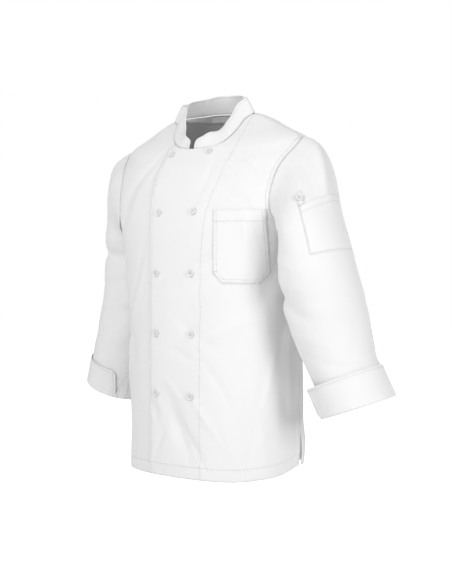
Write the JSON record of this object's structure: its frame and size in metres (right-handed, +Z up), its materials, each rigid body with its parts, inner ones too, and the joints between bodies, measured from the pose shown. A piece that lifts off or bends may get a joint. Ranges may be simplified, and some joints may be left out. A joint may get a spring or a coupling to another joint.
{
  "type": "chef jacket",
  "caption": "Double-breasted long-sleeved chef jacket with stand collar, turned-back cuffs, chest pocket and sleeve pocket, filled out as worn.",
  "frame": {"origin": "middle of the neck, level with the shoulder seams where they meet the collar", "axes": "+X to the wearer's left, -Y to the front, +Z up towards the collar"},
  "size_m": [0.8469, 0.2976, 0.8264],
  "materials": {
    "cloth": "white cotton twill, matt",
    "button": "white, half gloss"
  },
  "bodies": {
    "root": {"back": "cloth", "front_left": "cloth", "front_right": "cloth", "sleeve_left": "cloth", "sleeve_right": "cloth", "cuff_left": "cloth", "cuff_right": "cloth", "collar": "cloth", "chest_pocket": "cloth", "sleeve_pocket": "cloth", "sleeve_tab": "cloth", "neck_tape": "cloth", "neck_label": "cloth", "button_left_1": "button", "button_right_1": "button", "button_left_2": "button", "button_right_2": "button", "button_left_3": "button", "button_right_3": "button", "button_left_4": "button", "button_right_4": "button", "button_left_5": "button", "button_right_5": "button", "button_sleeve": "button"}
  },
  "joints": []
}
